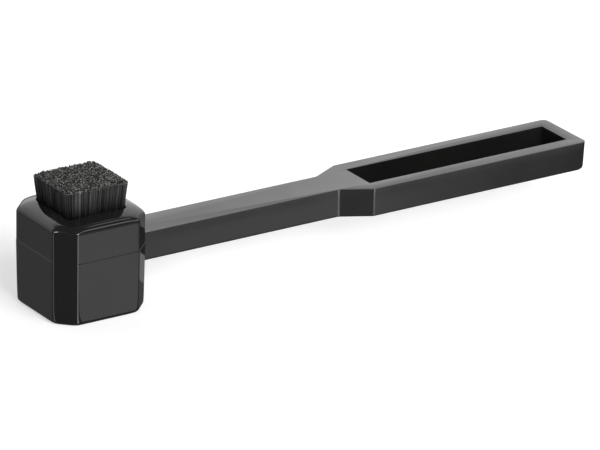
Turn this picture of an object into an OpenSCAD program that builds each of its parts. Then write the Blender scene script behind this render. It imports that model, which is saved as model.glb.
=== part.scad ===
// Stylus cleaning brush: a square two-shell head with a dense bristle tuft, on a slim
// arm that widens into a recessed grip. Millimetres. The origin is the centre of the
// head's bottom face, +X runs from the head to the grip and +Z is the way the bristles point.

/* [Head] */
// Width of the head across its flat sides
head_w = 18; // [17:0.5:22]
// How far each upright corner of the head is cut back along a side
head_chamfer = 3; // [2:0.25:3.5]
// Height where the walls and the curve of the crowned top would meet in a sharp edge
shoulder_h = 16.7; // [16.2:0.1:18.4]
// Rise of the crowned top above that edge, at the middle of the head
crown_rise = 1.8; // [1.2:0.1:2.2]
// How far in from the walls the rounding of that edge reaches
shoulder_in = 0.9; // [0.4:0.1:1.2]
// Height of the seam between the base and the cover
seam_h = 11.2; // [10.8:0.1:11.6]
// Wall thickness of both shells
wall = 1.5; // [1.2:0.1:1.7]
// Thickness of the base's floor
floor_t = 1.6; // [1.2:0.1:2.4]
// Radius along the bottom edges of the head
foot_r = 0.7; // [0.4:0.1:1.2]
// How far the base leans in from the seam down to the floor, for draft
base_draft = 0.2; // [0:0.05:0.4]

/* [Handle] */
// Height of the flat top face of arm and grip
arm_top = 11.7; // [11.7:0.1:12.6]
// Width of the arm
arm_w = 7.1; // [6:0.1:8]
// Thickness of arm and grip
arm_t = 5.1; // [4.4:0.1:5.6]
// Distance from the head's axis to the start of the flare
flare_start = 49; // [40:1:60]
// Length over which the arm widens into the grip
flare_l = 5.4; // [4:0.1:8]
// Width of the grip
grip_w = 12.8; // [12:0.1:16]
// Distance from the head's axis to the end of the grip
grip_end = 98.7; // [90:0.1:120]
// Radius of the grip's end corners, seen from above
end_r = 1.5; // [0.8:0.1:2.5]
// Radius under the end of the grip, seen from the side
toe_r = 0.8; // [0.6:0.1:2]
// Radius along the bottom edges of arm and grip
edge_r = 0.4; // [0.2:0.05:0.6]

/* [Grip recess] */
// Width of the long recess in the top of the grip
recess_w = 7.4; // [6:0.1:8.5]
// Depth of the recess
recess_depth = 3.6; // [2:0.1:3.8]
// Web between the flare and the recess
recess_web = 0.8; // [0.6:0.1:3]
// Wall between the recess and the grip's end
recess_end_wall = 2.5; // [2:0.1:5]

/* [Bristles] */
// Width of the tuft at its trimmed top
tuft_w = 12; // [11.4:0.1:12.6]
// Width of the tuft where it leaves the cover, below which it is held straight
mouth_w = 11.2; // [10.9:0.1:11.3]
// Width of the tuft at its root
root_w = 10.8; // [10.2:0.1:10.9]
// Height of the trimmed top above the head's bottom face
tuft_top = 22.5; // [20.5:0.1:24.5]
// Strands along each side of the tuft
strands = 22; // [18:1:22]
// Radius of one strand
strand_r = 0.21; // [0.15:0.01:0.22]
// Depth of resin under the strands
resin_t = 1.8; // [1:0.1:2.4]

/* [Fits] */
// Gap between pieces that are pushed together
fit = 0.1; // [0.05:0.01:0.12]
// Height of the base's lip inside the cover
lip_h = 1; // [0.6:0.1:1.4]
// Thickness of that lip
lip_t = 0.7; // [0.5:0.05:0.8]

/* [Hidden] */

// More than enough to cut right through a wall
through = 1;

// The head in plan: half its width, and the sum x + y along a chamfer
half = head_w / 2;
diagonal = head_w - head_chamfer;

// Sharpness of the head's corners in plan, at the walls and near the tuft
wall_power = 130;
crown_power = 8;

// Angle where the crown's rings stop, inside the opening for the tuft
crown_end = 63;

// Angle on the crown's ellipse where the rounding of the shoulder ends, and the lean of the
// surface there
shoulder_t = acos(1 - shoulder_in / half);
shoulder_slope = atan(tan(shoulder_t) * half / crown_rise);

// Flange on the arm's end, caught behind the wall of the head
flange_t = 1;
flange_side = 1.5;
flange_w = arm_w + 2 * flange_side;
flange_x = half - wall - fit - flange_t;

// Collar under the crown that holds the holder down
collar_h = 1;

// Holder of the tuft, between the flange and the far wall, in a frame of ribs on the floor
holder_w = 2 * (flange_x - fit);
holder_top = shoulder_h - collar_h;
holder_r = 0.8;
socket_margin = 0.2;
socket_w = root_w + 2 * socket_margin;
socket_r = 0.4;
socket_depth = 6;
socket_floor = holder_top - socket_depth;
core_wall = 1.2;
rib_t = 0.8;
rib_h = 1;

// Backing slice of the tuft, how deep the strands go into it, and the opening of the cover
slice_t = 0.6;
slice_bottom = socket_floor + resin_t;
slice_top = slice_bottom + slice_t;
root_bite = 0.25;
opening_w = mouth_w + 2 * fit;
opening_r = 0.9;

// Share of the crown's rise at which the tuft comes free of the opening and starts to spread
mouth_share = 0.75;
mouth_h = shoulder_h + mouth_share * crown_rise;

// Difference in height between the strands' cut ends
trim_spread = 0.15;

// Plan of the tuft: a strand is kept where u and v, each raised to this power, add up to less
// than the limit, which leaves out the four corner strands
squareness = 14;
plan_limit = 1.25;

// Handle
arm_bottom = arm_top - arm_t;
flare_end = flare_start + flare_l;
flare_root_r = 1.2;
flare_tip_r = 0.7;
end_lean = 0.3;

// Plan angles round the head, close together at its corners
corner_a = atan((half - head_chamfer) / half);
side_steps = 4;
chamfer_steps = 3;
eighth = concat(
    [for (i = [0:side_steps - 1]) corner_a * (1 - pow(1 - i / side_steps, 3))],
    [for (i = [0:chamfer_steps - 1]) corner_a + (45 - corner_a) * pow(i / chamfer_steps, 1.7)]);
quarter = concat(eighth, [45], [for (i = [len(eighth) - 1:-1:1]) 90 - eighth[i]]);
plan_angles = [for (q = [0:3]) for (a = quarter) 90 * q + a];

function total(v, i = 0) = i < len(v) - 1 ? v[i] + total(v, i + 1) : v[i];

// Distance from the axis to a chamfered square of half width h and chamfer sum d.
// A high power keeps its corners crisp, a low one rounds them off.
function reach(a, h, d, power) =
    let (c = cos(a), s = sin(a),
         parts = [abs(c) / h, abs(s) / h, abs(c + s) / d, abs(c - s) / d],
         top = max(parts))
    1 / (top * pow(total([for (v = parts) pow(v / top, power)]), 1 / power));

// Plan outline of the head, moved in by inset and drawn at the share size of itself
function plan(inset, size = 1, power = wall_power) = [
    for (a = plan_angles)
        size * reach(a, half - inset, diagonal - sqrt(2) * inset, power) * [cos(a), sin(a)]];

// The same outline as a ring at height z
function ring(z, inset, size = 1, power = wall_power) = [
    for (p = plan(inset, size, power)) [p.x, p.y, z]];

// Corners soften from the walls towards the middle of the crown
function soften(size) = crown_power / (1 - (1 - crown_power / wall_power) * pow(size, 8));

// Rings of a crown whose section is a quarter ellipse that springs from height z0, drawn from
// the angle t0 on
function crown_rings(z0, rise, inset, t0, step) = [
    for (t = [t0:step:crown_end])
        ring(z0 + rise * sin(t), inset, cos(t), soften(cos(t)))];

// Rings of the rounding that leads from the upright wall into the outer crown. It is an arc that
// meets the ellipse at the angle shoulder_t with the same slope.
function shoulder_rings(steps) =
    let (r = shoulder_in / (1 - cos(shoulder_slope)),
         start = shoulder_h + crown_rise * sin(shoulder_t) - r * sin(shoulder_slope))
    [for (i = [0:steps - 1])
        let (a = shoulder_slope * i / steps, size = 1 - r * (1 - cos(a)) / half)
        ring(start + r * sin(a), 0, size, soften(size))];

// Arc of radius r that rounds corner q on the way from p to s
function corner_arc(p, q, s, r, steps) =
    let (u = (p - q) / norm(p - q), v = (s - q) / norm(s - q),
         open = acos(u * v), turn = 180 - open,
         centre = q + (u + v) / norm(u + v) * r / sin(open / 2),
         from = q + u * r / tan(open / 2) - centre,
         to = q + v * r / tan(open / 2) - centre)
    [for (i = [0:steps])
        centre + (sin(turn * (1 - i / steps)) * from + sin(turn * i / steps) * to) / sin(turn)];

// One side of the handle in plan, moved in by inset, from the arm's root to the grip's end
function handle_side(inset) =
    let (slant = atan((grip_w - arm_w) / 2 / flare_l),
         shift = inset * tan(slant / 2),
         root = [flange_x, arm_w / 2 - inset],
         neck = [flare_start + shift, arm_w / 2 - inset],
         shoulder = [flare_end + shift, grip_w / 2 - inset],
         tip = [grip_end - inset, grip_w / 2 - inset],
         middle = [grip_end - inset, 0])
    concat([root],
        corner_arc(root, neck, shoulder, flare_root_r + inset, 4),
        corner_arc(neck, shoulder, tip, flare_tip_r - inset / 2, 4),
        corner_arc(shoulder, tip, middle, end_r - inset, 6));

// The whole plan of the handle as a ring at height z
function handle_ring(z, inset) =
    let (side = handle_side(inset))
    concat([for (p = side) [p.x, -p.y, z]],
        [for (i = [len(side) - 1:-1:0]) [side[i].x, side[i].y, z]]);

// A repeatable number from -1 to 1 for each pair of counts
function scatter(i, j) =
    let (v = sin(127.1 * i + 311.7 * j) * 437.5)
    2 * (v - floor(v)) - 1;

// Closed solid through rings of equally many points, counterclockwise from above, lowest first.
// With a hub each end is a fan round a point beside its centre, so that no edge of the fan
// meets a corner of what is cut out later. Otherwise it is a ladder from the first points
// of the ring to the last ones.
module skin(rings, hub = true) {
    n = len(rings[0]);
    m = len(rings);
    aside = [0.31, 0.17, 0];
    last = (m - 1) * n;
    ladder = concat(
        [for (i = [0:ceil(n / 2) - 2]) [i, i + 1, n - 1 - i]],
        [for (i = [0:ceil(n / 2) - 2]) if (i + 1 < n - 2 - i) [i + 1, n - 2 - i, n - 1 - i]]);
    ends = hub
        ? concat([for (i = [0:n - 1]) [i, (i + 1) % n, m * n]],
            [for (i = [0:n - 1]) [last + (i + 1) % n, last + i, m * n + 1]])
        : concat(ladder, [for (f = ladder) [last + f[2], last + f[1], last + f[0]]]);
    polyhedron(
        points = concat([for (r = rings) for (p = r) p],
            hub ? [total(rings[0]) / n + aside, total(rings[m - 1]) / n + aside] : []),
        faces = concat(ends,
            [for (k = [0:m - 2]) for (i = [0:n - 1])
                [k * n + i, (k + 1) * n + i, (k + 1) * n + (i + 1) % n]],
            [for (k = [0:m - 2]) for (i = [0:n - 1])
                [k * n + i, (k + 1) * n + (i + 1) % n, k * n + (i + 1) % n]]));
}

// Upright prism with the head's plan, moved in by inset
module head_prism(inset, z0, z1) {
    translate([0, 0, z0])
        linear_extrude(z1 - z0)
            polygon(plan(inset));
}

// Upright square block of width w with corner radius r, centred on the axis
module square_block(w, r, z0, z1) {
    c = w / 2;
    corners = [[c, c], [-c, c], [-c, -c], [c, -c]];
    translate([0, 0, z0])
        linear_extrude(z1 - z0)
            polygon([for (i = [0:3])
                for (p = corner_arc(corners[(i + 3) % 4], corners[i], corners[(i + 1) % 4], r, 4)) p]);
}

// The space that the arm needs where it passes through the head's wall
module arm_window(z0, z1) {
    translate([half - wall - through, -arm_w / 2 - fit, z0])
        cube([wall + 2 * through, arm_w + 2 * fit, z1 - z0]);
}

// Lower shell of the head: a cup with rounded foot, a lip for the cover and a frame for the holder
module head_base() {
    foot_rings = [
        for (t = [0:18:90])
            let (z = foot_r * (1 - cos(t)))
            ring(z, base_draft * (1 - z / seam_h) + foot_r * (1 - sin(t)))];
    color("#1b1b1b") {
        difference() {
            union() {
                skin(concat(foot_rings, [ring(seam_h, 0)]));
                head_prism(wall - lip_t, seam_h - lip_h, seam_h + lip_h);
            }
            head_prism(wall, floor_t, seam_h + lip_h + through);
            arm_window(arm_bottom - fit, seam_h + lip_h + through);
        }
        difference() {
            square_block(holder_w + 2 * (fit + rib_t), holder_r + rib_t, floor_t / 2, floor_t + rib_h);
            square_block(holder_w + 2 * fit, holder_r, floor_t, floor_t + rib_h + through);
        }
    }
}

// Upper shell of the head: crowned top, opening for the tuft, collar that holds the holder down
module head_cover() {
    color("#1b1b1b")
        difference() {
            skin(concat([ring(seam_h, 0)], shoulder_rings(6),
                crown_rings(shoulder_h, crown_rise, 0, shoulder_t, 5)));
            difference() {
                skin(concat([ring(seam_h - through, wall)],
                    crown_rings(holder_top, crown_rise - fit, wall, 0, 14)));
                square_block(holder_w, holder_r, holder_top, shoulder_h + crown_rise);
            }
            square_block(opening_w, opening_r, holder_top - through, shoulder_h + crown_rise + through);
            head_prism(wall - lip_t - fit, seam_h - through, seam_h + lip_h + fit);
            arm_window(seam_h - through, arm_top + fit);
        }
}

// Handle: flanged end in the head, slim arm, flare and recessed grip, in one moulding
module handle() {
    under_rings = [
        for (t = [0:22.5:90])
            handle_ring(arm_bottom + edge_r * (1 - cos(t)), edge_r * (1 - sin(t)))];
    heel = [flange_x - through, arm_bottom];
    toe = [grip_end - end_lean, arm_bottom];
    crest = [grip_end, arm_top];
    above = crest + (crest - toe) * through / arm_t;
    toe_arc = corner_arc(heel, toe, crest, toe_r, 6);
    side_view = concat([heel - [0, through], toe_arc[0] - [0, through]], toe_arc,
        [above, [heel.x, above.y]]);
    recess_x = flare_end + recess_web;
    recess_l = grip_end - recess_end_wall - recess_x;
    color("#2a2a2a") {
        difference() {
            intersection() {
                skin(concat(under_rings, [handle_ring(arm_top, 0)]), hub = false);
                rotate([90, 0, 0])
                    linear_extrude(2 * grip_w, center = true)
                        polygon(side_view);
            }
            translate([recess_x, -recess_w / 2, arm_top - recess_depth])
                cube([recess_l, recess_w, recess_depth + through]);
        }
        translate([flange_x, -flange_w / 2, arm_bottom])
            cube([flange_t, flange_w, arm_t]);
    }
}

// Moulded block with a socket for the tuft on top and four cored pockets underneath
module bristle_holder() {
    pocket_w = (holder_w - 3 * core_wall) / 2;
    pocket_step = (pocket_w + core_wall) / 2;
    color("#303030")
        difference() {
            square_block(holder_w, holder_r, floor_t, holder_top);
            square_block(socket_w, socket_r, socket_floor, holder_top + through);
            for (x = [-pocket_step, pocket_step], y = [-pocket_step, pocket_step])
                translate([x - pocket_w / 2, y - pocket_w / 2, floor_t - through])
                    cube([pocket_w, pocket_w, socket_floor - core_wall - floor_t + through]);
        }
}

// Cured resin in the bottom of the socket
module resin_bed() {
    color("#4a3f2c")
        square_block(socket_w, socket_r, socket_floor, slice_bottom);
}

// One strand of the tuft: a small triangle at the root, at the mouth of the cover and at the cut.
// u and v run from -1 to 1 across the tuft.
function strand_rings(u, v, turn, trim) = [
    for (level = [[root_w, slice_top - root_bite], [mouth_w, mouth_h], [tuft_w, trim]])
        let (reach_out = level[0] / 2 - strand_r)
        [for (a = [0:120:240])
            [reach_out * u + strand_r * cos(a + turn), reach_out * v + strand_r * sin(a + turn), level[1]]]];

// Bristle tuft: strands that stand straight in the head and spread above it, fused to the
// slice of resin that binds their roots
module bristle_tuft() {
    color("#222222") {
        square_block(socket_w, socket_r, slice_bottom, slice_top);
        for (i = [0:strands - 1], j = [0:strands - 1]) {
            u = 2 * i / (strands - 1) - 1;
            v = 2 * j / (strands - 1) - 1;
            if (pow(u, squareness) + pow(v, squareness) < plan_limit) {
                turn = 60 * scatter(i, j);
                trim = tuft_top - trim_spread / 2 + trim_spread / 2 * scatter(j + 5, i);
                skin(strand_rings(u, v, turn, trim), hub = false);
            }
        }
    }
}

head_base();
head_cover();
handle();
bristle_holder();
resin_bed();
bristle_tuft();
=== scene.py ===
import math
import random

import bmesh
import bpy
import numpy as np
from mathutils import Matrix, Vector, noise


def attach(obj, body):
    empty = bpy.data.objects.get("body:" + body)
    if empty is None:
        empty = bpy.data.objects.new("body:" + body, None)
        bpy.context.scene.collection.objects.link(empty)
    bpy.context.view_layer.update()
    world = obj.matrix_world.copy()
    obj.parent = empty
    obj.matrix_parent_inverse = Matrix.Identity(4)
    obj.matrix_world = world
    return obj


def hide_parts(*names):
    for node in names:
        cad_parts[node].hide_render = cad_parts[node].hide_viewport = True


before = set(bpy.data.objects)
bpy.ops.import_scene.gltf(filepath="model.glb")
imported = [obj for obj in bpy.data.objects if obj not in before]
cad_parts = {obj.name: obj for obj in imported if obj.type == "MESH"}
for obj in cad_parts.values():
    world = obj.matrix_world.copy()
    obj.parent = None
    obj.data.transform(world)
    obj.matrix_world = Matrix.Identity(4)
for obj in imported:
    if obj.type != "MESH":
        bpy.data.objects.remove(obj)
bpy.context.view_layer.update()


# Head base: the lower shell of the brush's head. A square cup with cut corners, injection
# moulded in black ABS from a polished mould. A thin lip on its rim locates the cover, and the
# arm passes through a notch in its +X wall. The ribs on its floor never show and are left out.
MM = 0.001  # every size is in millimetres, from the middle of the head's bottom face
HEAD_HALF = 9.0
HEAD_CUT = 15.0  # x + y along a cut corner
CRISP = 130.0  # how crisply the sides meet the cuts
FOOT_SOFT = 4.0  # up to this height they meet less crisply
FOOT_LOSS = 0.75  # the share of CRISP that is lost at the very foot
WALL = 1.5
DRAFT = 0.2
FOOT_R = 0.7
FLOOR_Z = 1.6
FLOOR_R = 0.4
SEAM_Z = 11.2
RIM_BREAK = 0.1
LIP_INSET = 0.8
LIP_Z = 12.2
ARM_TOP = 11.7
ARM_BOTTOM = 6.6
ARM_HALF = 3.55
FIT = 0.1  # clearance between pieces that slide together
BESIDE = 0.1  # a ring this far beside a rounding keeps the flat next to it flat
BY_SEAM = 0.25  # and one this far from the seam does so on each shell's wall
SPARE = 1.0  # a cutting box reaches this far past what it cuts

# Every ring of the head has these plan angles, which lie closer beside its corners.
EIGHTH_TURN = 45.0
ANGLE_STEP = 3
CLOSEST = 0.3
corner_angle = math.degrees(math.atan((HEAD_CUT - HEAD_HALF) / HEAD_HALF))
beside_corner = (0.35, 0.75, 1.2, 1.8, 2.6, 3.8, 5.6, 8.2)
wanted = sorted(
    [0.0, EIGHTH_TURN, corner_angle]
    + [float(a) for a in range(ANGLE_STEP, int(EIGHTH_TURN), ANGLE_STEP)]
    + [corner_angle - a for a in beside_corner]
    + [corner_angle + a for a in beside_corner]
)
eighth = [wanted[0]]
for a in wanted[1:]:
    if a - eighth[-1] > CLOSEST:
        eighth.append(a)
eighth[-1] = EIGHTH_TURN
quarter = eighth + [2 * EIGHTH_TURN - a for a in eighth[-2:0:-1]]
plan_angles = np.radians([2 * EIGHTH_TURN * q + a for q in range(4) for a in quarter])
plan_cos, plan_sin = np.cos(plan_angles), np.sin(plan_angles)


def reach(half, cut, power):
    """Distance from the axis to a square with cut corners, for each plan angle."""
    parts = np.abs([plan_cos / half, plan_sin / half,
                    (plan_cos + plan_sin) / cut, (plan_cos - plan_sin) / cut])
    top = parts.max(0)
    return 1.0 / (top * ((parts / top) ** power).sum(0) ** (1.0 / power))


def plan_ring(z, radius):
    """A ring of points round the axis, at one height or at a height for each point."""
    return np.column_stack([radius * plan_cos, radius * plan_sin,
                            np.broadcast_to(z, plan_cos.shape)])


def wall_ring(z, inset):
    """The head's outline moved in by inset, at height z. Its corners soften at the foot."""
    power = CRISP * (1 - FOOT_LOSS * max(0.0, 1 - z / FOOT_SOFT) ** 2)
    return plan_ring(z, reach(HEAD_HALF - inset, HEAD_CUT - math.sqrt(2) * inset, power))


def turned(cx, cz, r, start, stop, steps):
    """Points of an arc in a section, each as inset and height."""
    angles = np.radians(np.linspace(start, stop, steps + 1))
    return [(cx + r * math.cos(a), cz + r * math.sin(a)) for a in angles]


def placed(name, data):
    """Links a new object that holds the given mesh, lamp or camera."""
    made = bpy.data.objects.new(name, data)
    bpy.context.scene.collection.objects.link(made)
    return made


def built(name, mesh):
    """Turns a finished bmesh into an object."""
    data = bpy.data.meshes.new(name)
    mesh.to_mesh(data)
    mesh.free()
    return placed(name, data)


def skin(name, rings, low=None, high=None, joined=False):
    """An object through rings in millimetres, closed by centre points or onto itself."""
    mesh = bmesh.new()
    rows = [[mesh.verts.new(Vector(p) * MM) for p in ring] for ring in rings]
    count = len(rows[0])
    pairs = list(zip(rows, rows[1:])) + ([(rows[-1], rows[0])] if joined else [])
    for a, b in pairs:
        for i in range(count):
            mesh.faces.new((a[i], a[(i + 1) % count], b[(i + 1) % count], b[i]))
    for centre, row, step in ((low, rows[0], -1), (high, rows[-1], 1)):
        if centre is not None:
            tip = mesh.verts.new(Vector(centre) * MM)
            for i in range(count):
                mesh.faces.new((row[i], row[(i + 1) % count], tip)[::step])
    bmesh.ops.recalc_face_normals(mesh, faces=mesh.faces)
    return built(name, mesh)


def settle(target):
    """Applies the modifiers of a mesh object."""
    bpy.context.view_layer.update()
    seen = target.evaluated_get(bpy.context.evaluated_depsgraph_get())
    data = bpy.data.meshes.new_from_object(seen)
    target.modifiers.clear()
    old, target.data = target.data, data
    bpy.data.meshes.remove(old)
    data.name = target.name


def cut_box(target, low, high):
    """Cuts a box, given in millimetres, out of the target."""
    mesh = bmesh.new()
    bmesh.ops.create_cube(mesh, size=1.0)
    for v in mesh.verts:
        v.co = Vector([MM * (low[k] if v.co[k] < 0 else high[k]) for k in range(3)])
    cutter = built("cutter", mesh)
    boolean = target.modifiers.new("cut", "BOOLEAN")
    boolean.operation = "DIFFERENCE"
    boolean.solver = "EXACT"
    boolean.object = cutter
    settle(target)
    box = cutter.data
    bpy.data.objects.remove(cutter)
    bpy.data.meshes.remove(box)


def smooth(target, sharp_angle):
    """Smooth shading with real edges kept."""
    target.data.shade_smooth()
    target.data.set_sharp_from_angle(angle=math.radians(sharp_angle))


def colour(code):
    """An sRGB hex colour as the linear values that a socket takes."""
    parts = [int(code[i:i + 2], 16) / 255 for i in (1, 3, 5)]
    return [c / 12.92 if c <= 0.04045 else ((c + 0.055) / 1.055) ** 2.4 for c in parts] + [1.0]


def scale_of(size):
    """The scale of a pattern whose features are that many millimetres wide."""
    return 1 / (size * MM)


def add(tree, kind, settings, inputs):
    """Adds a node. An input that is an output socket is linked, any other is set."""
    node = tree.nodes.new(kind)
    for name, value in settings.items():
        setattr(node, name, value)
    for name, value in inputs.items():
        if isinstance(value, bpy.types.NodeSocket):
            tree.links.new(value, node.inputs[name])
        else:
            node.inputs[name].default_value = value
    return node


def begin(name):
    """An empty material and its coordinates in metres."""
    material = bpy.data.materials.new(name)
    material.use_nodes = True
    tree = material.node_tree
    tree.nodes.clear()
    return material, tree, add(tree, "ShaderNodeTexCoord", {}, {}).outputs["Object"]


# ABS from a polished mould: nearly black, with clear reflections that waver a little because
# the walls sink as they cool, and faint hazy patches where it has been wiped.
polished_abs, tree, place = begin("polished_black_abs")
haze = add(tree, "ShaderNodeTexNoise", {}, {
    "Vector": place, "Scale": scale_of(6.25), "Detail": 4.0})
gloss = add(tree, "ShaderNodeMapRange", {}, {
    "Value": haze.outputs["Fac"], "From Min": 0.3, "From Max": 0.7, "To Min": 0.05, "To Max": 0.08})
sink = add(tree, "ShaderNodeTexNoise", {}, {
    "Vector": place, "Scale": scale_of(9.09), "Detail": 1.0})
waver = add(tree, "ShaderNodeBump", {}, {
    "Strength": 0.3, "Distance": 0.02 * MM, "Height": sink.outputs["Fac"]})
tint = add(tree, "ShaderNodeMix", {"data_type": "RGBA"}, {
    "Factor": haze.outputs["Fac"], "A": colour("#0f0f0f"), "B": colour("#151514")})
body = add(tree, "ShaderNodeBsdfPrincipled", {}, {
    "Base Color": tint.outputs["Result"], "Roughness": gloss.outputs["Result"],
    "IOR": 1.53, "Normal": waver.outputs["Normal"]})
add(tree, "ShaderNodeOutputMaterial", {}, {"Surface": body.outputs["BSDF"]})

wall_heights = (0.8, 1.3, 2.0, 3.0, 4.0, 7.0, 10.0, SEAM_Z - BY_SEAM)
base_section = (
    [(DRAFT + FOOT_R + BESIDE, 0.0)]
    + [(DRAFT * (1 - z / SEAM_Z) + x, z)
       for x, z in turned(FOOT_R, FOOT_R, FOOT_R, 270, 180, 12)]
    + [(DRAFT * (1 - z / SEAM_Z), z) for z in wall_heights]
    + turned(RIM_BREAK, SEAM_Z - RIM_BREAK, RIM_BREAK, 180, 90, 5)
    + [(LIP_INSET - BESIDE, SEAM_Z), (LIP_INSET, SEAM_Z), (LIP_INSET, LIP_Z), (WALL, LIP_Z)]
    + [(WALL, SEAM_Z), (WALL, FLOOR_Z + FLOOR_R + BESIDE)]
    + turned(WALL + FLOOR_R, FLOOR_Z + FLOOR_R, FLOOR_R, 180, 270, 4)
)
head_base = skin("head_base_shell", [wall_ring(z, x) for x, z in base_section],
                 low=(0, 0, 0), high=(0, 0, FLOOR_Z))
cut_box(head_base, (HEAD_HALF - WALL - SPARE, -ARM_HALF - FIT, ARM_BOTTOM - FIT),
        (HEAD_HALF + SPARE, ARM_HALF + FIT, LIP_Z + SPARE))
smooth(head_base, 40)
head_base.data.materials.append(polished_abs)
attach(head_base, "root")
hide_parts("head_base")


# Handle: arm, flare and recessed grip in one moulding of black ABS from a finely eroded mould,
# so it is satin where the head shines. A flange on the arm's end is caught inside the head.
FLANGE_X = 6.4
FLANGE_T = 1.0
FLANGE_HALF = 5.05
FLARE_START = 49.0
FLARE_END = 54.4
FLARE_NECK_R = 1.2
FLARE_SHOULDER_R = 1.0
GRIP_HALF = 6.4
GRIP_END = 98.7
TIP_R = 1.0
END_LEAN = 0.3  # how much further the grip's end reaches at its top than at its bottom
TOE_R = 0.8
RECESS_START = 55.2
RECESS_END = 96.2
RECESS_HALF = 3.7
RECESS_Z = 8.1
RECESS_R = 0.12
EDGE_R = 0.4
EDGE_BREAK = 0.09
TOUCH = 0.05  # how near a face's middle has to be to count as on a wall of the recess
RIM_DEPTH = 0.2  # the top of the recess's walls, left out of the painted shade as it still catches the light


def rounded_corner(p, q, s, r, steps):
    """Points of an arc of radius r that rounds corner q on the way from p to s."""
    p, q, s = Vector(p), Vector(q), Vector(s)
    u, v = (p - q).normalized(), (s - q).normalized()
    half_open = u.angle(v) / 2
    centre = q + (u + v).normalized() * r / math.sin(half_open)
    first = q + u * r / math.tan(half_open) - centre
    last = q + v * r / math.tan(half_open) - centre
    turn = math.pi - 2 * half_open
    return [centre + (math.sin(turn * (1 - t)) * first + math.sin(turn * t) * last)
            / math.sin(turn) for t in np.linspace(0, 1, steps + 1)]


def handle_side(inset):
    """Plan of the handle's +Y side from the flange to the middle of the grip's end."""
    slant = math.atan((GRIP_HALF - ARM_HALF) / (FLARE_END - FLARE_START))
    shift = inset * math.tan(slant / 2)
    root = (FLANGE_X + FLANGE_T, ARM_HALF - inset)
    neck = (FLARE_START + shift, ARM_HALF - inset)
    shoulder = (FLARE_END + shift, GRIP_HALF - inset)
    tip = (GRIP_END - inset, GRIP_HALF - inset)
    middle = (GRIP_END - inset, 0.0)
    return ([Vector(q) for q in ((FLANGE_X, 0.0), (FLANGE_X, FLANGE_HALF),
                                 (FLANGE_X + FLANGE_T, FLANGE_HALF), root)]
            + rounded_corner(root, neck, shoulder, FLARE_NECK_R + inset, 10)
            + rounded_corner(neck, shoulder, tip, FLARE_SHOULDER_R - inset / 2, 8)
            + rounded_corner(shoulder, tip, middle, TIP_R - inset, 12)
            + [Vector(middle)])


def end_pull(z):
    """How far the grip's end lies inside its top edge at height z, from its lean and toe."""
    lean = END_LEAN * (ARM_TOP - z) / (ARM_TOP - ARM_BOTTOM)
    up = z - ARM_BOTTOM
    toe = TOE_R - math.sqrt(max(TOE_R**2 - (TOE_R - up) ** 2, 0.0)) if up < TOE_R else 0.0
    return lean + toe


def handle_outline(z, inset):
    """The handle's whole outline at height z, counterclockwise from the root's middle."""
    side = [(p.x - (end_pull(z) if p.x > RECESS_END else 0.0), p.y) for p in handle_side(inset)]
    lower = [(x, -y, z) for x, y in side]
    upper = [(x, y, z) for x, y in side[-2:0:-1]]
    return lower + upper


def recess_outline(z):
    """The recess's outline at height z, split where it meets the middle line."""
    ends = [(RECESS_START, 0), (RECESS_START, -RECESS_HALF),
            (RECESS_END, -RECESS_HALF), (RECESS_END, 0)]
    lower = ([Vector(ends[0])] + rounded_corner(ends[0], ends[1], ends[2], RECESS_R, 3)
             + rounded_corner(ends[1], ends[2], ends[3], RECESS_R, 3) + [Vector(ends[3])])
    return [(p.x, p.y, z) for p in lower] + [(p.x, -p.y, z) for p in lower[-2:0:-1]]


def in_recess(face):
    """Whether a face of the handle lies on the recess's walls or floor, below the rim, where shade is
    painted.
    """
    x, y, z = face.center / MM
    return (RECESS_START - TOUCH < x < RECESS_END + TOUCH and abs(y) < RECESS_HALF + TOUCH
            and RECESS_Z - TOUCH < z < ARM_TOP - RIM_DEPTH)


up_the_side = (0.48, 0.6, 0.75, 0.95, 1.2, 1.6, 3.2)
rise = [(ARM_BOTTOM + EDGE_R * (1 - math.cos(t)), EDGE_R * (1 - math.sin(t)))
        for t in np.radians(np.linspace(0, 90, 7))]
rise += [(ARM_BOTTOM + z, 0.0) for z in up_the_side] + [(ARM_TOP, 0.0)]
mesh = bmesh.new()
outer = [[mesh.verts.new(Vector(p) * MM) for p in handle_outline(z, inset)] for z, inset in rise]
inner = [[mesh.verts.new(Vector(p) * MM) for p in recess_outline(z)] for z in (RECESS_Z, ARM_TOP)]
for rows in (outer, inner[::-1]):
    for a, b in zip(rows, rows[1:]):
        for i in range(len(a)):
            mesh.faces.new((a[i], a[(i + 1) % len(a)], b[(i + 1) % len(a)], b[i]))
half, recess_half = len(outer[-1]) // 2, len(inner[-1]) // 2
mesh.faces.new(outer[-1][:half + 1] + inner[-1][recess_half::-1])
mesh.faces.new(outer[-1][half:] + outer[-1][:1] + inner[-1][:1] + inner[-1][:recess_half - 1:-1])
mesh.faces.new(outer[0][::-1])
mesh.faces.new(inner[0])
bmesh.ops.recalc_face_normals(mesh, faces=mesh.faces)
handle = built("handle_moulding", mesh)

# The bevel rounds every real edge and keeps the flats flat.
bevel = handle.modifiers.new("edge", "BEVEL")
bevel.width = EDGE_BREAK * MM
bevel.segments = 3
bevel.limit_method = "ANGLE"
bevel.angle_limit = math.radians(35)
bevel.use_clamp_overlap = True
settle(handle)
smooth(handle, 25)
# Mark the recess's faces for the painted shade, a lower shine.
painted_recess_shade = [float(in_recess(face)) for face in handle.data.polygons]
handle.data.attributes.new("recess", "FLOAT", "FACE").data.foreach_set("value", painted_recess_shade)
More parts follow.
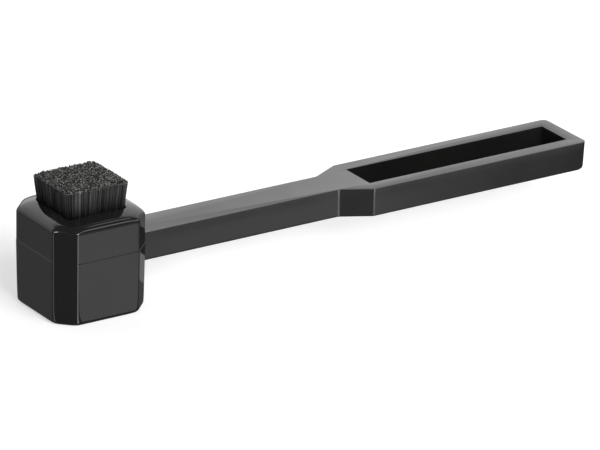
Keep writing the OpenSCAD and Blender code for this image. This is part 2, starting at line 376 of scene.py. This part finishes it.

# ABS from a spark eroded mould: the fine grain spreads every reflection into a soft sheen.
# The real grain is about 0.03 mm, drawn here at 0.125 mm so that it still shows. On the walls
# and floor of the recess the shine is turned down: painted shade, so the recess reads as nearly black.
satin_abs, tree, place = begin("satin_black_abs")
grain = add(tree, "ShaderNodeTexNoise", {}, {
    "Vector": place, "Scale": scale_of(0.125), "Detail": 2.0})
cloud = add(tree, "ShaderNodeTexNoise", {}, {
    "Vector": place, "Scale": scale_of(11.1), "Detail": 5.0})
gloss = add(tree, "ShaderNodeMapRange", {}, {
    "Value": cloud.outputs["Fac"], "From Min": 0.3, "From Max": 0.7, "To Min": 0.27, "To Max": 0.35})
relief = add(tree, "ShaderNodeBump", {}, {
    "Strength": 0.25, "Distance": 0.006 * MM, "Height": grain.outputs["Fac"]})
tint = add(tree, "ShaderNodeMix", {"data_type": "RGBA"}, {
    "Factor": cloud.outputs["Fac"], "A": colour("#0b0b0b"), "B": colour("#0f0f0e")})
recess = add(tree, "ShaderNodeAttribute", {"attribute_name": "recess"}, {})
# Painted shade: the shine drops on the recess's faces.
painted_shade_shine = add(tree, "ShaderNodeMapRange", {}, {
    "Value": recess.outputs["Fac"], "To Min": 0.95, "To Max": 0.35})
body = add(tree, "ShaderNodeBsdfPrincipled", {}, {
    "Base Color": tint.outputs["Result"], "Roughness": gloss.outputs["Result"],
    "IOR": 1.53, "Specular IOR Level": painted_shade_shine.outputs["Result"], "Normal": relief.outputs["Normal"]})
add(tree, "ShaderNodeOutputMaterial", {}, {"Surface": body.outputs["BSDF"]})
handle.data.materials.append(satin_abs)
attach(handle, "root")
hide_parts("handle")


# Bristle holder: a plain moulded block with a socket on top and cored pockets underneath,
# clamped between the base's floor and the cover. Its CAD solid is right as it is. Its ABS is
# dull and slightly mottled, because nobody sees it.
plain_abs, tree, place = begin("plain_moulded_abs")
cloud = add(tree, "ShaderNodeTexNoise", {}, {
    "Vector": place, "Scale": scale_of(2.5), "Detail": 4.0})
tint = add(tree, "ShaderNodeMix", {"data_type": "RGBA"}, {
    "Factor": cloud.outputs["Fac"], "A": colour("#2a2a2a"), "B": colour("#343433")})
relief = add(tree, "ShaderNodeBump", {}, {
    "Strength": 0.3, "Distance": 0.01 * MM, "Height": cloud.outputs["Fac"]})
body = add(tree, "ShaderNodeBsdfPrincipled", {}, {
    "Base Color": tint.outputs["Result"], "Roughness": 0.5, "IOR": 1.53,
    "Normal": relief.outputs["Normal"]})
add(tree, "ShaderNodeOutputMaterial", {}, {"Surface": body.outputs["BSDF"]})
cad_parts["bristle_holder"].material_slots[0].material = plain_abs


# Resin bed: cured amber epoxy in the bottom of the socket, under the bristles' roots. Its
# surface is smooth and slightly clouded. Its CAD solid is right as it is.
epoxy, tree, place = begin("cured_epoxy")
cloud = add(tree, "ShaderNodeTexNoise", {}, {
    "Vector": place, "Scale": scale_of(2.0), "Detail": 3.0})
tint = add(tree, "ShaderNodeMix", {"data_type": "RGBA"}, {
    "Factor": cloud.outputs["Fac"], "A": colour("#3b2c18"), "B": colour("#5a4526")})
body = add(tree, "ShaderNodeBsdfPrincipled", {}, {
    "Base Color": tint.outputs["Result"], "Roughness": 0.2, "IOR": 1.55})
add(tree, "ShaderNodeOutputMaterial", {}, {"Surface": body.outputs["BSDF"]})
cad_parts["resin_bed"].material_slots[0].material = epoxy


# Bristle tuft: thousands of fine dark synthetic fibres, packed into a square block, potted in
# resin at their roots and cut flat on top. They spread a little towards the cut and lean
# together in small clumps. The real fibres are nearer 0.1 mm, drawn here at 0.16 mm.
SLICE_Z = 11.5
SLICE_HALF = 5.55  # the block that the roots stand in, hidden in the socket
ROOT_Z = 12.05
ROOT_HALF = 5.38
DIP = 0.05
MOUTH_Z = 18.05
MOUTH_HALF = 5.58
CUT_Z = 22.47
CUT_HALF = 5.99
SQUARENESS = 14  # how squarely the block's plan turns its corners
PITCH = 0.178
JITTER = 0.045
FIBRE_R = 0.078
THINNEST, THICKEST = 0.85, 1.1
SIDES = 5
BOW = 0.03
TILT = 0.5  # the slope of the cut ends, each its own way
OUTER = 0.88  # fibres beyond this share of the block show their sides, so they bow
CLUMP = 0.3  # the clumps' spacing
CLUMP_LIFT = 0.09
OWN_LIFT = 0.07
PULL = 0.12  # a fibre leans this share of the way to the middle of its clump
WAVE = 0.2  # the height of the cut's slow waves
WAVES_PER_MM = 1.7
WAVE_AT = 3.7  # the slice of the noise that gives them
RIGHT_RISE = 0.16  # the cut stands higher in the middle of its +X side
CORNER_DROP = 0.3  # and lower at its far left corner
TRIM = 0.17  # a fibre ends at most this far above the cut's middle, or twice as far below
OWN_SHARE = 0.55  # a fibre's tone is partly its own and partly its clump's
CLUMP_SHARE = 0.45
SLICE_SHADE = 0.2

draw = random.Random(41)
clumps = {}


def clump_of(x, y):
    """The middle, lift and tone of the clump that a fibre belongs to, in the plane of the cut."""
    nearest, found = math.inf, None
    i0, j0 = math.floor(x / CLUMP), math.floor(y / CLUMP)
    for i in (i0 - 1, i0, i0 + 1):
        for j in (j0 - 1, j0, j0 + 1):
            if (i, j) not in clumps:
                own = random.Random(1009 * i + 9176 * j + 5)
                clumps[i, j] = ((i + own.uniform(0.1, 0.9)) * CLUMP,
                                (j + own.uniform(0.1, 0.9)) * CLUMP,
                                own.uniform(-CLUMP_LIFT, CLUMP_LIFT), own.random() ** 2)
            distance = math.hypot(x - clumps[i, j][0], y - clumps[i, j][1])
            if distance < nearest:
                nearest, found = distance, clumps[i, j]
    return found


points, faces, shades = [], [], []
row_step = PITCH * math.sqrt(3) / 2
rows_out = int(CUT_HALF / row_step)
cols_out = int(CUT_HALF / PITCH) + 1
for j in range(-rows_out, rows_out + 1):
    for i in range(-cols_out, cols_out + 1):
        u = ((i + 0.5 * (j % 2)) * PITCH + draw.uniform(-JITTER, JITTER)) / CUT_HALF
        v = (j * row_step + draw.uniform(-JITTER, JITTER)) / CUT_HALF
        turn, own_lift = draw.uniform(0, math.tau), draw.gauss(0, OWN_LIFT)
        bow, bow_way = draw.gauss(0, BOW), draw.uniform(0, math.tau)
        tilt_x, tilt_y = draw.gauss(0, TILT), draw.gauss(0, TILT)
        own_shade, thick = draw.uniform(0.0, 1.0), draw.uniform(THINNEST, THICKEST)
        if abs(u) ** SQUARENESS + abs(v) ** SQUARENESS > 1.0:
            continue
        x, y = u * CUT_HALF, v * CUT_HALF
        cx, cy, lift, clump_shade = clump_of(x, y)
        top = Vector((x * (1 - PULL) + cx * PULL, y * (1 - PULL) + cy * PULL))
        top.x = max(-CUT_HALF, min(CUT_HALF, top.x))
        top.y = max(-CUT_HALF, min(CUT_HALF, top.y))
        root = Vector((u * ROOT_HALF, v * ROOT_HALF))
        mouth = Vector((u * MOUTH_HALF, v * MOUTH_HALF))
        uneven = WAVE * noise.noise(Vector((x, y, WAVE_AT)) * WAVES_PER_MM)
        uneven += (RIGHT_RISE * max(0.0, u) ** 4 * (1 - v * v)
                   - CORNER_DROP * max(0.0, (v - u) / 2) ** 12)
        end_z = CUT_Z - TRIM + max(-2 * TRIM, min(TRIM, lift + own_lift + uneven))
        mouth_share = (MOUTH_Z - ROOT_Z) / (end_z - ROOT_Z)
        outside = max(abs(u), abs(v)) > OUTER
        levels = (0.0, mouth_share, (1 + mouth_share) / 2, 1.0) if outside else (0.0, 1.0)
        r = FIBRE_R * thick
        start = len(points)
        for t in levels:
            out = max(0.0, (t - mouth_share) / (1 - mouth_share))
            centre = root.lerp(mouth, min(1.0, t / mouth_share)).lerp(top, out)
            swell = bow * math.sin(math.pi * out)
            centre += Vector((math.cos(bow_way), math.sin(bow_way))) * swell
            for k in range(SIDES):
                a = turn + math.tau * k / SIDES
                dx, dy = r * math.cos(a), r * math.sin(a)
                z = ROOT_Z + (end_z - ROOT_Z) * t + (dx * tilt_x + dy * tilt_y if t == 1.0 else 0)
                points.append((centre.x + dx, centre.y + dy, min(z, CUT_Z)))
        count = len(levels)
        for n in range(count - 1):
            for k in range(SIDES):
                a, b = start + n * SIDES + k, start + n * SIDES + (k + 1) % SIDES
                faces.append((a, b, b + SIDES, a + SIDES))
        last = start + (count - 1) * SIDES
        faces.append(tuple(range(last, last + SIDES)))
        faces.append(tuple(range(start + SIDES - 1, start - 1, -1)))
        shades += [OWN_SHARE * own_shade**2 + CLUMP_SHARE * clump_shade] * (count * SIDES)
low = len(points)
for z in (SLICE_Z, ROOT_Z + DIP):
    points += [(x * SLICE_HALF, y * SLICE_HALF, z) for x, y in ((-1, -1), (1, -1), (1, 1), (-1, 1))]
faces += [(low, low + 3, low + 2, low + 1), (low + 4, low + 5, low + 6, low + 7)]
faces += [(low + k, low + (k + 1) % 4, low + 4 + (k + 1) % 4, low + 4 + k) for k in range(4)]
shades += [SLICE_SHADE] * 8
data = bpy.data.meshes.new("bristle_fibres")
data.from_pydata([Vector(p) * MM for p in points], [], faces)
data.validate()
data.attributes.new("fibre_shade", "FLOAT", "POINT").data.foreach_set("value", shades)
tuft = placed("bristle_fibres", data)
smooth(tuft, 50)

# Synthetic fibre, drawn and dyed dark grey: each strand has a soft line of light along it and
# a cut end painted much paler, part its own tone and part a painted glint of the light from
# above, and strands differ a little in tone. Down between the strands little light gets in, and
# that shade is painted: colour and shine darken from LIT_Z down to DIM_Z.
LIT_Z = 21.2
DIM_Z = 17.6
fibre, tree, place = begin("dark_synthetic_fibre")
strand = add(tree, "ShaderNodeAttribute", {"attribute_name": "fibre_shade"}, {})
facing = add(tree, "ShaderNodeNewGeometry", {}, {})
up = add(tree, "ShaderNodeSeparateXYZ", {}, {"Vector": facing.outputs["Normal"]})
cut_end = add(tree, "ShaderNodeMapRange", {"interpolation_type": "SMOOTHSTEP"}, {
    "Value": up.outputs["Z"], "From Min": 0.6, "From Max": 0.8})
side_tint = add(tree, "ShaderNodeMix", {"data_type": "RGBA"}, {
    "Factor": strand.outputs["Fac"], "A": colour("#0c0c0c"), "B": colour("#40403f")})
# The cut ends' colour: partly their own paler tone, partly a painted glint of the light from above.
pale_end_and_glint = add(tree, "ShaderNodeMix", {"data_type": "RGBA"}, {
    "Factor": strand.outputs["Fac"], "A": colour("#0e0e0e"), "B": colour("#a6a6a2")})
tint = add(tree, "ShaderNodeMix", {"data_type": "RGBA"}, {
    "Factor": cut_end.outputs["Result"], "A": side_tint.outputs["Result"],
    "B": pale_end_and_glint.outputs["Result"]})
axes = add(tree, "ShaderNodeSeparateXYZ", {}, {"Vector": place})
# Painted shade: colour and shine fall off towards the foot of the tuft.
painted_light_share = add(tree, "ShaderNodeMapRange", {}, {
    "Value": axes.outputs["Z"], "From Min": DIM_Z * MM, "From Max": LIT_Z * MM,
    "To Min": 0.15, "To Max": 1.0})
shaded = add(tree, "ShaderNodeMix", {"data_type": "RGBA"}, {
    "Factor": painted_light_share.outputs["Result"], "A": colour("#040404"), "B": tint.outputs["Result"]})
painted_shade_shine = add(tree, "ShaderNodeMath", {"operation": "MULTIPLY"}, {
    0: painted_light_share.outputs["Result"], 1: 0.5})
rough = add(tree, "ShaderNodeMapRange", {}, {
    "Value": cut_end.outputs["Result"], "To Min": 0.35, "To Max": 0.6})
body = add(tree, "ShaderNodeBsdfPrincipled", {}, {
    "Base Color": shaded.outputs["Result"], "Roughness": rough.outputs["Result"], "IOR": 1.5,
    "Specular IOR Level": painted_shade_shine.outputs["Value"]})
add(tree, "ShaderNodeOutputMaterial", {}, {"Surface": body.outputs["BSDF"]})
tuft.data.materials.append(fibre)
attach(tuft, "root")
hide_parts("bristle_tuft")


# Head cover: the upper shell, in the same polished black ABS as the base. Its walls stand a
# hair inside the base's, which makes the ledge at the seam. A rounded shoulder leads to the
# crowned top with its square opening, and a collar inside holds the holder down.
COVER_IN = 0.05
HEM_BREAK = 0.02
SHOULDER_Z = 16.7
SHOULDER_IN = 0.9
SHOULDER_STEPS = 16
CROWN_RISE = 1.8
CROWN_STEPS = 24
SOFT = 8.0  # how crisply the crown's corners meet at its middle, where CRISP is at its rim
SOFTENING = 8
OPENING_HALF = 5.7
OPENING_R = 0.9
MOUTH_R = 0.12
COLLAR_Z = 15.7
COLLAR_HALF = 6.3
COLLAR_R = 0.8
INNER_RISE = 1.7
INNER_STEPS = 10
STEEPEST = 85
HALVINGS = 40


def rounded_square(half, r):
    """Distance from the axis to a square of that half width with corner radius r."""
    c, s = np.abs(plan_cos), np.abs(plan_sin)
    straight = half / np.maximum(c, s)
    along = (half - r) * (c + s)
    arc = along + np.sqrt(np.maximum(along**2 - 2 * (half - r) ** 2 + r**2, 0.0))
    return np.where(np.minimum(c, s) * straight > half - r, arc, straight)


def crown_radius(size, inset):
    """Distance from the axis to the crown where it is that share of its full size."""
    power = SOFT / (1 - (1 - SOFT / CRISP) * size**SOFTENING)
    return size * reach(HEAD_HALF - inset, HEAD_CUT - math.sqrt(2) * inset, power)


def crown_end(radius, inset):
    """The angle at which the crown comes in to the given radius, found by halving."""
    near, far = np.zeros_like(radius), np.full_like(radius, math.radians(STEEPEST))
    for _ in range(HALVINGS):
        middle = (near + far) / 2
        outside = crown_radius(np.cos(middle), inset) > radius
        near, far = np.where(outside, middle, near), np.where(outside, far, middle)
    return near


opening = rounded_square(OPENING_HALF, OPENING_R)
mouth = rounded_square(OPENING_HALF + MOUTH_R, OPENING_R + MOUTH_R)
collar = rounded_square(COLLAR_HALF, COLLAR_R)
outer_end, inner_end = crown_end(mouth, COVER_IN), crown_end(collar, WALL)
mouth_z = SHOULDER_Z + CROWN_RISE * np.sin(outer_end)
collar_z = COLLAR_Z + INNER_RISE * np.sin(inner_end)

# The shoulder is an arc that starts upright on the wall and meets the crown with its slope.
shoulder_t = math.acos(1 - SHOULDER_IN / HEAD_HALF)
shoulder_slope = math.atan(math.tan(shoulder_t) * HEAD_HALF / CROWN_RISE)
shoulder_r = SHOULDER_IN / (1 - math.cos(shoulder_slope))
wall_top = SHOULDER_Z + CROWN_RISE * math.sin(shoulder_t) - shoulder_r * math.sin(shoulder_slope)
cover_heights = (SEAM_Z + BY_SEAM, 13.0, 15.0, wall_top - 0.4, wall_top - BESIDE)

# The rings go up the wall, over the shoulder and the crown to the opening, down the opening
# and the collar, and back under the crown to the foot of the wall.
cover_rings = [wall_ring(z, x) for x, z in
               [(LIP_INSET - FIT, SEAM_Z), (COVER_IN + HEM_BREAK + BESIDE, SEAM_Z)]
               + turned(COVER_IN + HEM_BREAK, SEAM_Z + HEM_BREAK, HEM_BREAK, 270, 180, 4)
               + [(COVER_IN, z) for z in cover_heights]]
for k in range(SHOULDER_STEPS):
    t = shoulder_slope * k / SHOULDER_STEPS
    size = 1 - shoulder_r * (1 - math.cos(t)) / HEAD_HALF
    cover_rings.append(plan_ring(wall_top + shoulder_r * math.sin(t), crown_radius(size, COVER_IN)))
for k in range(CROWN_STEPS + 1):
    t = shoulder_t + (outer_end - shoulder_t) * k / CROWN_STEPS
    cover_rings.append(plan_ring(SHOULDER_Z + CROWN_RISE * np.sin(t), crown_radius(np.cos(t), COVER_IN)))
for t in np.radians((22.5, 45, 67.5, 90)):
    cover_rings.append(plan_ring(mouth_z - MOUTH_R * (1 - math.cos(t)),
                                 opening + (mouth - opening) * (1 - math.sin(t))))
cover_rings += [plan_ring(COLLAR_Z, opening), plan_ring(COLLAR_Z, collar),
                plan_ring(collar_z, collar)]
for k in range(INNER_STEPS - 1, -1, -1):
    t = inner_end * k / INNER_STEPS
    cover_rings.append(plan_ring(COLLAR_Z + INNER_RISE * np.sin(t), crown_radius(np.cos(t), WALL)))
cover_rings += [wall_ring(LIP_Z + FIT, WALL), wall_ring(LIP_Z + FIT, LIP_INSET - FIT)]
head_cover = skin("head_cover_shell", cover_rings, joined=True)
cut_box(head_cover, (HEAD_HALF - WALL - SPARE, -ARM_HALF - FIT, SEAM_Z - SPARE),
        (HEAD_HALF + SPARE, ARM_HALF + FIT, ARM_TOP + FIT))
smooth(head_cover, 40)
head_cover.data.materials.append(polished_abs)
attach(head_cover, "root")
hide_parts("head_cover")


# Table: a sheet of white acrylic that glows by itself, with no lamp behind it, so it stays white
# and carries only a faint shadow. It glows less at the head than under the arm, which is
# painted light: it keeps the faint shadow at the head and washes out the arm's. The brush's
# polished faces show the studio's own cards and not the sheet.
TABLE_HALF = 6000.0
GLOW_START = 4.0
GLOW_END = 26.0
mesh = bmesh.new()
bmesh.ops.create_grid(mesh, x_segments=4, y_segments=4, size=TABLE_HALF * MM)
table = built("table", mesh)
white_sheet, tree, place = begin("glowing_white_sheet")
axes = add(tree, "ShaderNodeSeparateXYZ", {}, {"Vector": place})
# Painted light: the glow rises from the head towards the arm and washes out the arm's shadow.
painted_floor_glow = add(tree, "ShaderNodeMapRange", {}, {
    "Value": axes.outputs["X"], "From Min": GLOW_START * MM, "From Max": GLOW_END * MM,
    "To Min": 0.49, "To Max": 0.66})
body = add(tree, "ShaderNodeBsdfPrincipled", {}, {
    "Base Color": colour("#b4b4b4"), "Roughness": 0.9, "Specular IOR Level": 0.1,
    "Emission Color": colour("#ffffff"), "Emission Strength": painted_floor_glow.outputs["Result"]})
add(tree, "ShaderNodeOutputMaterial", {}, {"Surface": body.outputs["BSDF"]})
table.data.materials.append(white_sheet)
table.visible_glossy = False


def card(name, low, high, z, fade, strengths):
    """A lit card under the table's top, seen only in reflections. Its light goes from the first
    strength to the second between the two places along X that fade gives."""
    mesh = bmesh.new()
    corners = [mesh.verts.new(Vector((x, y, z)) * MM)
               for x, y in ((low[0], low[1]), (high[0], low[1]), (high[0], high[1]), (low[0], high[1]))]
    mesh.faces.new(corners)
    made = built(name, mesh)
    glow, tree, place = begin(name + "_glow")
    axes = add(tree, "ShaderNodeSeparateXYZ", {}, {"Vector": place})
    ramp = add(tree, "ShaderNodeMapRange", {}, {
        "Value": axes.outputs["X"], "From Min": fade[0] * MM, "From Max": fade[1] * MM,
        "To Min": strengths[0], "To Max": strengths[1]})
    light = add(tree, "ShaderNodeEmission", {}, {
        "Color": colour("#ffffff"), "Strength": ramp.outputs["Result"]})
    add(tree, "ShaderNodeOutputMaterial", {}, {"Surface": light.outputs["Emission"]})
    made.data.materials.append(glow)
    made.visible_camera = False
    made.visible_diffuse = False
    made.visible_shadow = False


# Studio cards: a long one in front of the brush, which the front walls mirror and which fades
# towards the grip's end, and a small one beside the arm, which the cut corner at the head's
# right mirrors. It ends where the rays that pass over the arm would land.
card("front_card", (60.0, -300.0), (220.0, -90.0), -60.0, (100.0, 200.0), (0.98, 0.0))
card("side_card", (15.0, 0.0), (31.0, 40.0), -1.0, (15.0, 31.0), (0.36, 0.36))


# Studio: a soft tent round the brush. Each light in it is a direction as azimuth and elevation,
# half its width and half its height, how softly it ends, all in degrees, and its strength. The
# words beside it say where it is and what mirrors it.
TENT = 0.12
LIGHTS = (
    (70, 34, 66, 18, 20, 1.04),  # wide pale wall behind, in all the tops
    (55, 9, 32, 10, 12, 0.7),  # the foot of that wall, in the satin tops and the far crown
    (70, 12, 8, 5, 6, 0.4),  # a brighter patch there, in the far left of the crown
    (48, -6, 14, 9, 5, 0.8),  # low behind, in the head's right shoulder
    (50, 6, 9, 5, 6, 0.4),  # above that, in the right side of the crown
    (125, 6, 20, 12, 10, 0.5),  # far left, in the head's left shoulder
    (25, 0, 20, 10, 8, 0.3),  # far right, in the shoulder over the right cut corner
    (128, -16, 20, 24, 14, 0.14),  # low on the far left, in the head's left wall
    (-175, -22, 9, 26, 5, 1.6),  # upright, in the left edge of the front cut corner
    (-163, 27, 10, 4, 3, 16.0),  # small and strong, a highlight at the top of that edge
    (-87, 27, 10, 4, 3, 22.0),  # the same at the top of the cut corner's right edge
    (-82, -22, 12, 26, 6, 3.0),  # upright, in the right edge of the front cut corner
    (-70, 28, 60, 5, 5, 2.6),  # narrow strip in front, a line along the front shoulder
    (-21, 57, 9, 3.5, 4, 1.8),  # small and high on the right, in the broken front edges
    (25, 60, 30, 10, 10, 0.03),  # faint and high behind, in the front of the crown
    (-58, -6, 20, 5, 8, 0.35),  # low in front, in the foot of the front shoulder
)
world = bpy.data.worlds.new("tent")
bpy.context.scene.world = world
world.use_nodes = True
tree = world.node_tree
tree.nodes.clear()


def number(operation, *values):
    """The output of a node that works out one number."""
    return add(tree, "ShaderNodeMath", {"operation": operation},
               dict(enumerate(values))).outputs["Value"]


def inside(distance, half, soft):
    """One within half of the middle, falling smoothly to zero over the soft border."""
    return add(tree, "ShaderNodeMapRange", {"interpolation_type": "SMOOTHSTEP"}, {
        "Value": distance, "From Min": math.radians(half - soft / 2),
        "From Max": math.radians(half + soft / 2), "To Min": 1.0, "To Max": 0.0}).outputs["Result"]


way = add(tree, "ShaderNodeTexCoord", {}, {}).outputs["Generated"]
parts = add(tree, "ShaderNodeSeparateXYZ", {}, {"Vector": way})
elevation = number("ARCSINE", parts.outputs["Z"])
azimuth = number("ARCTAN2", parts.outputs["Y"], parts.outputs["X"])
light = TENT
for middle, height, half_width, half_height, soft, strength in LIGHTS:
    turn = number("ABSOLUTE", number("WRAP", number("SUBTRACT", azimuth, math.radians(middle)),
                                     math.pi, -math.pi))
    rise_off = number("ABSOLUTE", number("SUBTRACT", elevation, math.radians(height)))
    shape = number("MULTIPLY", inside(turn, half_width, soft), inside(rise_off, half_height, soft))
    light = number("ADD", light, number("MULTIPLY", shape, strength))
glow = add(tree, "ShaderNodeBackground", {}, {"Color": colour("#ffffff"), "Strength": light})
add(tree, "ShaderNodeOutputWorld", {}, {"Surface": glow.outputs["Background"]})

# Key: one large soft box, low in front, so that the brush's soft shadow lies behind it. The
# brush doesn't mirror it.
KEY_PLACE = Vector((60, -740, 560))
KEY_AIM = Vector((30, 0, 0))
KEY_WIDTH = 600
KEY_WATTS = 9.0
lamp = bpy.data.lights.new("key", "AREA")
lamp.shape = "RECTANGLE"
lamp.size = KEY_WIDTH * MM
lamp.size_y = KEY_WIDTH * MM
lamp.energy = KEY_WATTS
key = placed("key", lamp)
key.location = KEY_PLACE * MM
key.rotation_euler = (KEY_AIM - KEY_PLACE).to_track_quat("-Z", "Y").to_euler()
key.visible_glossy = False


# Camera: a long lens from the photograph's place, worked out from its straight edges, and
# turned a little about its line of sight.
AZIMUTH = math.radians(-33.24)
ELEVATION = math.radians(21.8)
ROLL = math.radians(1.0)
PIVOT = Vector((0, 0, 16.77))
DISTANCE = 995.4
TO_RIGHT = 36.38
TO_BELOW = 2.6
level = Vector((math.cos(AZIMUTH), math.sin(AZIMUTH), 0))
back = Vector((math.sin(AZIMUTH) * math.cos(ELEVATION),
               -math.cos(AZIMUTH) * math.cos(ELEVATION), math.sin(ELEVATION)))
upright = back.cross(level)
right = math.cos(ROLL) * level + math.sin(ROLL) * upright
above = math.cos(ROLL) * upright - math.sin(ROLL) * level
spot = PIVOT + DISTANCE * back + TO_RIGHT * right - TO_BELOW * above
lens = bpy.data.cameras.new("camera")
lens.lens = 360.0
lens.sensor_width = 36.0
lens.clip_start = 0.05
lens.clip_end = 50.0
camera = placed("camera", lens)
camera.matrix_world = Matrix.Translation(spot * MM) @ Matrix(
    (right, above, back)).transposed().to_4x4()
bpy.context.scene.camera = camera
bpy.context.scene.view_settings.view_transform = "Standard"
